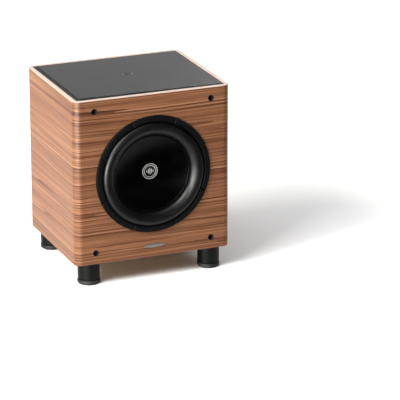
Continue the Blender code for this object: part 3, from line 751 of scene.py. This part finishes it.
def wadding():
    """A slab of loose wadding, crowned and lumpy."""
    low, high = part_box("wadding")
    size, centre = high - low, (low + high) / 2
    shape = bmesh.new()
    bmesh.ops.create_cube(shape, size=1.0)
    bmesh.ops.subdivide_edges(shape, edges=shape.edges, cuts=15, use_grid_fill=True)
    for vert in shape.verts:
        p = vert.co * 2
        crown = 1 - 0.25 * (abs(p.x) ** 6 + abs(p.y) ** 6)
        lump = 0.88 + 0.10 * noise.noise(Vector((p.x * 4, p.y * 4, p.z)))
        pull = 0.96 + 0.03 * noise.noise(Vector((p.x * 3, p.y * 3, p.z * 2 + 5)))
        vert.co = Vector((p.x * size.x * pull, p.y * size.y * pull, p.z * size.z * crown * lump)) / 2
    slab = finished("wadding_slab", shape, WOOL, centre, 180)
    settle(slab, "cabinet", ["wadding"])


# Driver


def trim():
    """The cover ring, its edges eased, with eight narrow notches across its face."""
    profile = in_mm([
        (131.5, 2.7), (131.5, -2.6), (131.3, -3.3), (130.8, -3.8), (130.2, -4.0), (121.2, -4.0),
        (120.4, -3.9), (119.8, -3.5), (119.5, -2.9), (119.4, -1.4), (122.2, -1.4), (122.2, -0.2),
        (129.4, -0.2), (129.4, 2.7),
    ])
    ring = turned("ring_trim", profile, TRIM, DRIVER, "Y", FINE, ring=True)
    notch = [(u * MM, v * MM) for u, v in ((-1.5, 117), (1.5, 117), (1.5, 133), (-1.5, 133))]
    tools = []
    for i in range(8):
        loops = [[oriented(u, v, along, "Y") for u, v in notch] for along in (-5 * MM, -1.9 * MM)]
        tool = loft(f"cut_notch_{i}", loops, TRIM)
        turn = Matrix.Rotation(math.pi * (2 * i + 1) / 8, 4, "Y")
        tool.matrix_world = Matrix.Translation(DRIVER) @ turn
        tools.append(tool)
    carve(ring, tools)
    settle(ring, "cabinet", ["trim_ring"])


def ring_blend(piece, outer, inner):
    """Lets a turned piece flex: it stays on the cabinet at the outer radius, and moves with the cone at
    the inner one."""
    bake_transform(piece, "cabinet", "cone_assembly", start=DRIVER + Vector((0, 0, outer)),
             end=DRIVER + Vector((0, 0, inner)))
    weights = piece.data.attributes["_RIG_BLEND"].data
    for vert, weight in zip(piece.data.vertices, weights):
        away = vert.co - DRIVER
        share = (outer - math.hypot(away.x, away.z)) / (outer - inner)
        share = min(max(share, 0.0), 1.0)
        weight.value = share * share * (3 - 2 * share)


def surround():
    """The rubber half roll, leaning in to a lip on the cone, with a groove and a raised bead on the lip."""
    foot, thick, rise, lean = -1.1, 1.0, 9.9, 3.5
    centre, across = 101.9, 13.9
    steps = 24
    front, back = [], []
    for i in range(steps + 1):
        t = math.pi * i / steps
        depth = foot + lean * (1 - math.cos(t)) - rise * math.sin(t)
        front.append((centre + across * math.cos(t), depth))
        back.append((centre + (across - thick) * math.cos(t), depth + thick))
    low = foot + 2 * lean
    lip = [(87.5, low), (87.2, low + 0.3), (86.8, low + 0.3), (86.5, low), (86.0, low - 0.35),
           (85.2, low - 0.5), (84.4, low - 0.4), (83.8, low), (83.5, low + 0.5), (83.5, low + thick)]
    profile = in_mm([(121.5, foot + thick), (121.5, foot)] + front + lip + back[::-1])
    roll = turned("rubber_surround", profile, ROLL, DRIVER, "Y", FINE, ring=True, sharp=60)
    roll.data.materials.append(LIP)
    for face in roll.data.polygons:
        radius = math.hypot(face.center.x, face.center.z) / MM
        if abs(radius - centre) > across - 0.2:
            face.material_index = 1
    ring_blend(roll, (centre + across) * MM, (centre - across) * MM)
    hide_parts("surround")


def bowl(radius):
    """Depth of the cone's front behind the front of the box, in millimetres: part of a sphere."""
    edge, depth = 83.0, 15.0
    sphere = (edge**2 + depth**2) / (2 * depth)
    return CONE_RIM + depth - sphere + math.sqrt(sphere**2 - radius**2)


def cone():
    """A smooth dish with a rolled rim, glued under the surround's lip."""
    thick, rim = 1.8, CONE_RIM
    radii = [0.5] + [6 * i for i in range(1, 14)] + [82.0]
    front = [(r, bowl(r)) for r in radii] + [(82.7, rim + 0.05), (83.2, rim), (88.3, rim), (88.5, rim + 0.3)]
    back = [(88.5, rim + thick)] + [(r, depth + thick) for r, depth in front[-3::-1]]
    dish = turned("cone_dish", in_mm(front + back), CONE, DRIVER, "Y", FINE, sharp=40)
    settle(dish, "cone_assembly", ["cone"])


def emblem():
    """A domed black disc with two silver rings and five upright bars, like a level meter."""
    face = [(r, bowl(r) - 1.15) for r in (0.5, 6, 11, 16.5)]
    face += [(17.6, bowl(17.6) - 1.05), (18, bowl(18) - 0.7)]
    back = [(r, bowl(r) - 0.35) for r in (18, 12, 6, 0.5)]
    disc = turned("emblem_disc", in_mm(face + back), INK, DRIVER, "Y", 96)
    settle(disc, "cone_assembly", ["emblem"])
    for name, low, high in (("outer", 16.4, 17.5), ("inner", 12.6, 13.6)):
        loop = [(low, bowl(low) - 1.18), (low + 0.15, bowl(low) - 1.34), (high - 0.15, bowl(high) - 1.34),
                (high, bowl(high) - 1.18), (high, bowl(high) - 1.05), (low, bowl(low) - 1.05)]
        settle(turned(f"emblem_ring_{name}", in_mm(loop), PRINT, DRIVER, "Y", 96, ring=True),
               "cone_assembly")
    for i, height in enumerate((5.0, 10.0, 14.0, 10.0, 5.0)):
        x = (i - 2) * 3.6
        out = bowl(math.hypot(x, height / 2)) - 1.1
        bar = raised(lambda d: rectangle(1.4 * MM - 2 * d, height * MM - 2 * d, 0.7 * MM - d, steps=5),
                     in_mm([(0, out), (0, out - 0.15), (0.1, out - 0.25)]), "Y", f"emblem_bar_{i + 1}",
                     PRINT, DRIVER + Vector((x * MM, 0, 0)))
        settle(bar, "cone_assembly")


def spider():
    """The corrugated cloth disc that centres the coil."""
    thick, mean, swing = 0.7, 58.6, 1.3
    start, width, waves, steps = 28.5, 36.5, 4, 56
    front = [(26.0, 56.7), (26.4, 57.8), (27.4, 58.5)]
    for i in range(steps + 1):
        share = i / steps
        front.append((start + share * width, mean - swing * math.sin(2 * math.pi * waves * share)))
    front += [(66.5, 58.9), (78, 58.9)]
    back = [(r, along + thick) for r, along in front[::-1]]
    disc = turned("spider_disc", in_mm(front + back), CLOTH, DRIVER, "Y", 96, ring=True, sharp=60)
    ring_blend(disc, (start + width) * MM, (start + 0.5) * MM)
    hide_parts("spider")


def tinsel_leads():
    """Two slack braided leads from the terminals to the cone, which flex with it."""
    steps = 24
    for side, x in (("left", -7), ("right", 7)):
        start = DRIVER + Vector((x, 64, -77)) * MM
        end = DRIVER + Vector((x * 1.5, 21.8, -33)) * MM
        points = []
        for i in range(steps + 1):
            t = i / steps
            sag = Vector((0, 6 * math.sin(2 * math.pi * t), -9 * math.sin(math.pi * t))) * MM
            points.append(start.lerp(end, t) + sag)
        braid = tube(f"tinsel_lead_{side}", points, 0.7 * MM, COPPER)
        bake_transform(braid, "cabinet", "cone_assembly", start=start, end=end)


# Amplifier


def on_back(node):
    """A node's place on the back face of the box."""
    spot = middle(node)
    spot.y = BACK
    return spot


def knobs():
    """Ribbed knobs with a white pointer, each riding on its own control, and eleven ticks round each."""
    ribs, rib_depth = 36, 0.22 * MM
    profile = in_mm([(3, -9.6), (3, 6.4), (10.4, 6.4), (11, 7.0), (11, 8.2), (10.4, 8.8), (10.3, 17.8),
                     (9.9, 18.9), (9.2, 19.4), (8.4, 19.6), (1, 19.6)])
    for name in ("level", "crossover"):
        place = on_back(f"{name}_knob")
        knob = turned(f"{name}_dial", profile, PLASTIC, place, "Y", 180,
                      ripple=lambda a: rib_depth * (math.cos(ribs * a) - 1), sharp=45)
        settle(knob, f"{name}_control", [f"{name}_knob"])
        pointer = raised(lambda d: rectangle(1.1 * MM - 2 * d, 7.5 * MM - 2 * d, 0.3 * MM, (0, 6.3 * MM), 3),
                         in_mm([(0, 19.4), (0, 19.65), (0.15, 19.72)]), "Y", f"{name}_pointer", LEGEND, place)
        settle(pointer, f"{name}_control")
        for i in range(11):
            turn = math.radians(-150 + 30 * i)
            length = 2.6 if i in (0, 5, 10) else 1.6
            tick = raised(lambda d: rectangle(0.55 * MM, length * MM, 0, (0, (14 + length / 2) * MM), 1),
                          in_mm([(0, 4.3), (0, 4.36)]), "Y", f"{name}_tick_{i + 1}", LEGEND, (0, 0, 0))
            tick.matrix_world = Matrix.Translation(place) @ Matrix.Rotation(turn, 4, "Y")
            settle(tick, "cabinet")


def line_inputs():
    """Phono sockets: a plated barrel round a coloured insulator."""
    for side, look in (("left", WHITE), ("right", RED)):
        node = f"line_input_{side}"
        place = on_back(node)
        barrel = in_mm([(3.1, 5.2), (3.1, 12.9), (3.25, 13), (4.05, 13), (4.2, 12.8), (4.2, 6.4), (6.3, 6.2),
                        (6.5, 6.0), (6.5, 4.6), (5, 4.6), (5, -8), (1, -8), (1, 5.2)])
        shell = turned(f"{node}_barrel", barrel, NICKEL, place, "Y", 48, ring=True)
        settle(shell, "cabinet", [node])
        insert = in_mm([(1.7, 5.4), (1.7, 12.2), (3.0, 12.2), (3.0, 5.4)])
        ring = turned(f"{node}_insulator", insert, look, place, "Y", 40, ring=True)
        settle(ring, "cabinet")


def inlet_details():
    """Three blades in the inlet and a ribbed grip on the fuse drawer."""
    inlet, drawer = on_back("mains_inlet"), on_back("fuse_drawer")
    levels = in_mm([(0, -9.3), (0, 2.4), (0.3, 3.4), (0.7, 3.8)])
    for i, (x, z) in enumerate(((-7, 5), (7, 5), (0, 9.5))):
        blade = raised(lambda d: rectangle(2 * MM - 1.2 * d, 4 * MM - 2 * d, 0.3 * MM, steps=2), levels, "Y",
                       f"inlet_blade_{i + 1}", NICKEL, inlet + Vector((x, 0, z)) * MM)
        settle(blade, "cabinet")
    levels = in_mm([(0, 7.8), (0, 8.3), (0.15, 8.45)])
    for i, z in enumerate((-1.9, 0, 1.9)):
        rib = raised(lambda d: rectangle(12 * MM - 2 * d, 0.7 * MM - 2 * d, 0.2 * MM, steps=2), levels, "Y",
                     f"fuse_grip_{i + 1}", PLASTIC, drawer + Vector((0, 0, z)) * MM)
        settle(rib, "fuse_tray")


def rocker():
    """A rocker with a shallow valley, at its off side, with a bar and a ring moulded on it."""
    hinge = next(j for j in frame["joints"] if j["name"] == "power_rock")
    rest = Matrix.Translation(hinge["pos_m"]) @ Matrix.Rotation(math.radians(8), 4, "X")
    reach = [(-3.0, -7.0), (5.2, -7.0), (5.55, -6.7)]
    reach += [(5.6 - 1.2 * math.sin(math.pi * (0.5 + v / 13.2)), v) for v in (-6.4, -4, -2, 0, 2, 4, 6.4)]
    reach += [(5.55, 6.7), (5.2, 7.0), (-3.0, 7.0)]
    outline = [(y * MM, up * MM) for y, up in reach]
    loops = [[(x * MM, u, v) for u, v in outline] for x in (-4.5, -4.3, 4.3, 4.5)]
    for loop in (loops[0], loops[-1]):
        loop[:] = [(x, y * 0.97, v * 0.98) for x, y, v in loop]
    body = loft("power_rocker_cap", loops, PLASTIC, sharp=25)
    body.matrix_world = rest
    settle(body, "power_control", ["power_rocker"])
    bar = raised(lambda d: rectangle(0.7 * MM, 2.8 * MM, 0.1 * MM, (0, 4.3 * MM), 2),
                 in_mm([(0, 4.4), (0, 5.0)]), "Y", "power_bar_mark", LEGEND, (0, 0, 0))
    ring = turned("power_ring_mark", in_mm([(1.5, 4.4), (1.5, 5.0), (0.95, 5.0), (0.95, 4.4)]), LEGEND,
                  (0, 0, 0), "Y", 24, ring=True)
    ring.data.transform(Matrix.Translation((0, 0, -4.3 * MM)))
    for mark in (bar, ring):
        mark.matrix_world = rest
        settle(mark, "power_control")


def sliders():
    """Switch sliders with three ridges."""
    for name, body in (("phase", "phase_control"), ("auto_on", "auto_on_control")):
        place = on_back(f"{name}_slider")
        outline = [(-2, -3.6), (-2, 5.2), (-1.6, 5.7)]
        for i in range(3):
            u = -1.2 + i * 1.2
            outline += [(u - 0.35, 5.7), (u, 5.35), (u + 0.35, 5.7)]
        outline += [(1.6, 5.7), (2, 5.2), (2, -3.6)]
        loops = [[(u * MM, reach * MM, z * MM) for u, reach in outline] for z in (-1.9, 1.9)]
        slider = loft(f"{name}_slider_cap", loops, PLASTIC, place, sharp=25)
        settle(slider, body, [f"{name}_slider"])


def screw_mesh():
    """A domed head with a cross recess, centred on its seat."""
    profile = in_mm([(0.6, 0), (3.3, 0), (3.4, 0.4), (3.1, 1.2), (2.2, 1.8), (0.6, 2.1)])
    head = turned("screw_pattern", profile, ENAMEL, (0, 0, 0), "Y", 32, sharp=50)
    tools = []
    for wide, high in ((3.4, 0.8), (0.8, 3.4)):
        slit = rectangle(wide * MM, high * MM)
        loops = [[oriented(u, v, along * MM, "Y") for u, v in slit] for along in (0.9, 3)]
        tools.append(loft("cut_cross", loops, ENAMEL))
    carve(head, tools)
    mesh = head.data
    bpy.data.objects.remove(head)
    return mesh


def screws():
    """Ten black screws round the panel, each turned a little further than the one before."""
    mesh = screw_mesh()
    half_x, half_z, inner_z = 104, 124, 41
    spots = [(x, z) for x in (-half_x, half_x) for z in (-half_z, -inner_z, inner_z, half_z)]
    spots += [(0, -half_z), (0, half_z)]
    for i, (x, z) in enumerate(spots):
        head = bpy.data.objects.new(f"panel_screw_{i + 1}", mesh)
        bpy.context.scene.collection.objects.link(head)
        head.location = PANEL + Vector((x * MM, PANEL_FACE, z * MM))
        head.rotation_euler.y = 0.6 * i
        settle(head, "cabinet")


def plain_nodes():
    """Better surfaces on the CAD nodes whose shape is already right."""
    paint(["left_side_board", "right_side_board", "top_board", "bottom_board"], BOARD)
    paint(["front_baffle", "back_board"], BOARD)
    paint(["amp_panel", "heat_sink"], ANODISED, 0.35 * MM)
    paint(["driver_basket"], ENAMEL)
    paint(["top_plate", "pole_yoke", "amp_box", "level_pot", "crossover_pot"], STEEL)
    paint(["magnet"], FERRITE)
    paint(["driver_gasket", "amp_gasket"], FOAM)
    paint(["voice_coil_former", "mains_transformer"], FILM)
    paint(["voice_coil"], COPPER)
    paint(["amp_board"], CIRCUIT)
    paint(["capacitor_1", "capacitor_2"], SLEEVE)
    paint(["speaker_lead"], RUBBER)
    paint(["power_light"], LENS)
    paint(["mains_inlet", "power_switch_body", "fuse_drawer"], PLASTIC, 0.3 * MM)
    paint(["driver_terminals", "phase_switch_body", "auto_on_switch_body"], PLASTIC)


# Studio


def level_sheet(name, low, high, z, look):
    """A flat sheet between two corners. It belongs to the studio."""
    mesh = bpy.data.meshes.new(name)
    mesh.from_pydata([(low[0], low[1], z), (high[0], low[1], z), (high[0], high[1], z), (low[0], high[1], z)],
                     [], [(0, 1, 2, 3)])
    mesh.materials.append(look)
    made = bpy.data.objects.new(name, mesh)
    bpy.context.scene.collection.objects.link(made)
    return made


def floor():
    ground = Graph("pale_floor", (0.86, 0.86, 0.86), 0.7, specular=0.2)
    mottle = ground.noise(ground.where(), 2.0, detail=1)
    ground.put("Base Color", ground.ramp(mottle, [(0.0, (0.85, 0.85, 0.85)), (1.0, (0.87, 0.87, 0.87))]))
    level_sheet("floor", (-FLOOR_REACH, -FLOOR_REACH), (FLOOR_REACH, FLOOR_REACH), 0, ground.material)
    # A black sheet seen only in the gloss of the black pieces: a painted dark reflection, standing in for a
    # dark object at the front right
    shade_sheet_look = Graph("painted_dark_reflection", (0.004, 0.004, 0.004), 0.9, specular=0.0)
    card = level_sheet("dark_reflection_card", *DARK_REFLECTION_CARD, CARD_HEIGHT, shade_sheet_look.material)
    card.visible_camera = card.visible_diffuse = card.visible_shadow = False


def backdrop():
    """White where the camera looks past the floor, and dim as a source of light."""
    world = bpy.data.worlds.new("studio")
    world.use_nodes = True
    bpy.context.scene.world = world
    tree = world.node_tree
    back = tree.nodes["Background"]
    back.inputs["Color"].default_value = (1.0, 1.0, 1.0, 1.0)
    seen = tree.nodes.new("ShaderNodeLightPath")
    level = tree.nodes.new("ShaderNodeMapRange")
    level.inputs["To Min"].default_value = WORLD_LIGHT
    tree.links.new(seen.outputs["Is Camera Ray"], level.inputs["Value"])
    tree.links.new(level.outputs["Result"], back.inputs["Strength"])


def lights():
    for name, place, size, watts, colour in AREA_LIGHTS:
        lamp = bpy.data.lights.new(name, "AREA")
        lamp.shape = "RECTANGLE"
        lamp.size, lamp.size_y = size
        lamp.energy = watts
        lamp.color = colour
        holder = aimed(name, lamp, place, LIGHTS_AIM - Vector(place))
        holder.visible_camera = False
        # The strip only draws the highlight on the rounded corner
        holder.visible_diffuse = name != "corner_strip"
    sky = bpy.data.lights.new("sky", "SUN")
    sky.energy = SKY_STRENGTH
    sky.angle = SKY_SPREAD
    aimed("sky", sky, (-1, -0.5, 4), SKY_AIM)


def camera():
    bpy.context.scene.view_settings.view_transform = "Standard"
    lens = bpy.data.cameras.new("camera")
    lens.lens = CAMERA_LENS
    lens.sensor_width = CAMERA_SENSOR
    lens.clip_end = 60
    level_reach = math.cos(CAMERA_PITCH)
    forward = Vector((math.sin(CAMERA_YAW) * level_reach, math.cos(CAMERA_YAW) * level_reach,
                      -math.sin(CAMERA_PITCH)))
    place = Vector((0, MIDDLE_Y, BASE)) + CAMERA_FROM_BOX
    bpy.context.scene.camera = aimed("camera", lens, place, forward)


def aimed(name, data, place, forward):
    """An object that holds a light or camera and looks along forward."""
    holder = bpy.data.objects.new(name, data)
    holder.location = place
    holder.rotation_mode = "QUATERNION"
    holder.rotation_quaternion = forward.to_track_quat("-Z", "Y")
    bpy.context.scene.collection.objects.link(holder)
    return holder


veneer()
lipping()
cover()
badge()
sockets()
feet()
wadding()
trim()
surround()
cone()
emblem()
spider()
tinsel_leads()
knobs()
line_inputs()
inlet_details()
rocker()
sliders()
screws()
plain_nodes()
floor()
backdrop()
lights()
camera()
